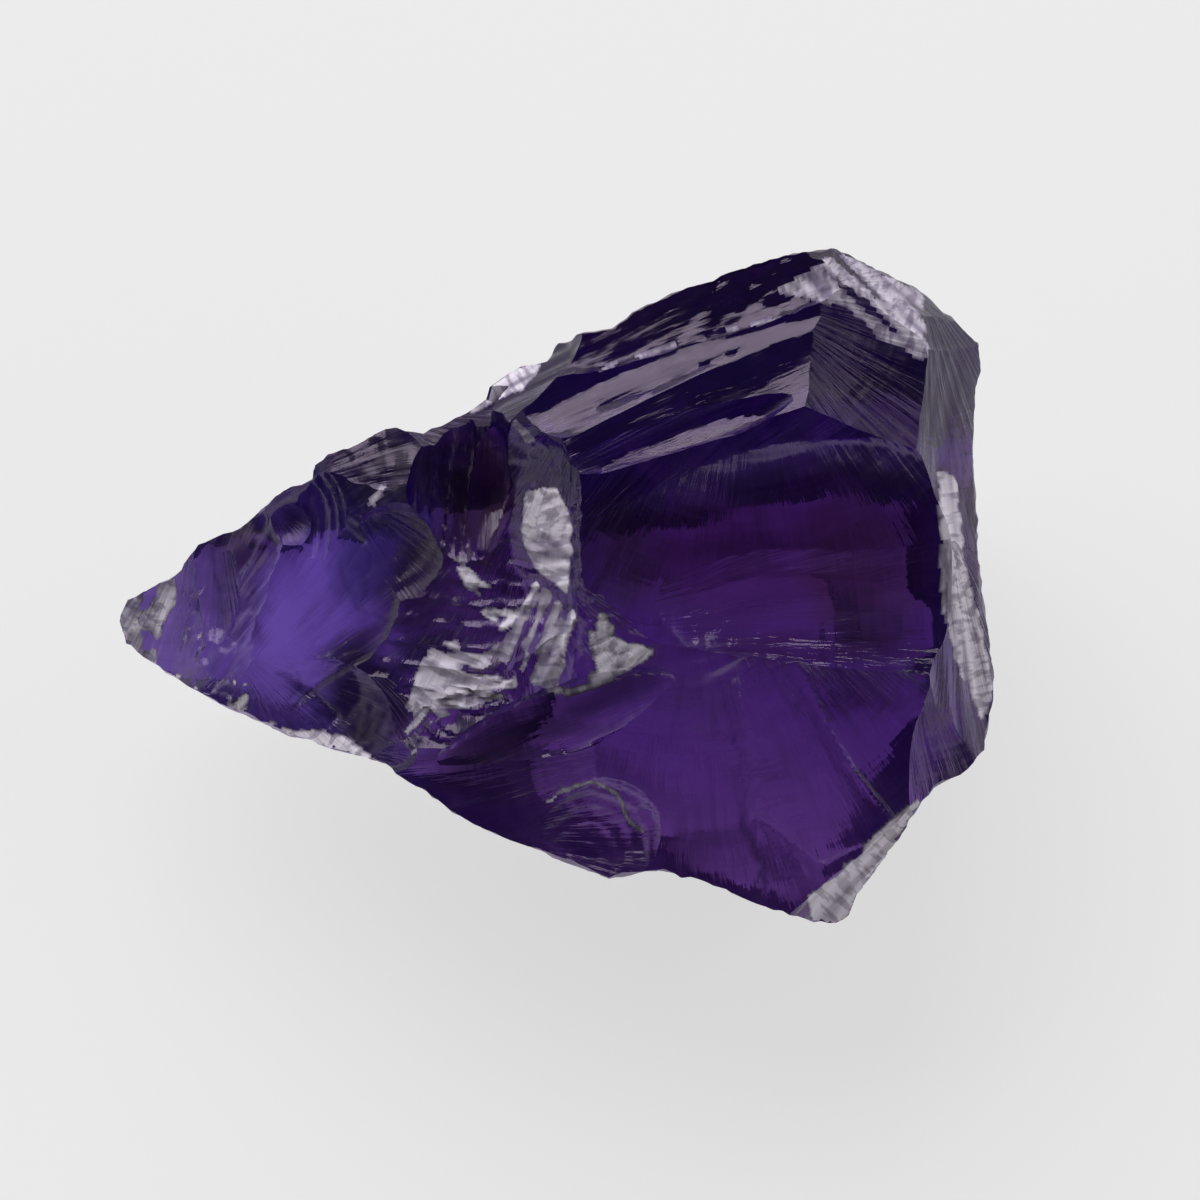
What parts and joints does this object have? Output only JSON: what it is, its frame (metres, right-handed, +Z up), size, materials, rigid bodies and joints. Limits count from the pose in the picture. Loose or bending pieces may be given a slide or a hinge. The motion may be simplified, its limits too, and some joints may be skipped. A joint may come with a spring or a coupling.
{
  "type": "rough amethyst",
  "caption": "Rough lump of deep violet quartz, pointed at one end, bounded by shell-like fracture scars; it lies on a flat break.",
  "frame": {"origin": "centre of the bounding box, on the surface that the stone lies on", "axes": "+X from the pointed end to the thick end, +Z up, out of the side that the picture shows"},
  "size_m": [0.042, 0.0323, 0.0208],
  "materials": {
    "amethyst": "clear violet crystal with glossy shell-like breaks and a few frosted steps"
  },
  "bodies": {
    "root": {"amethyst": "amethyst"}
  },
  "joints": []
}
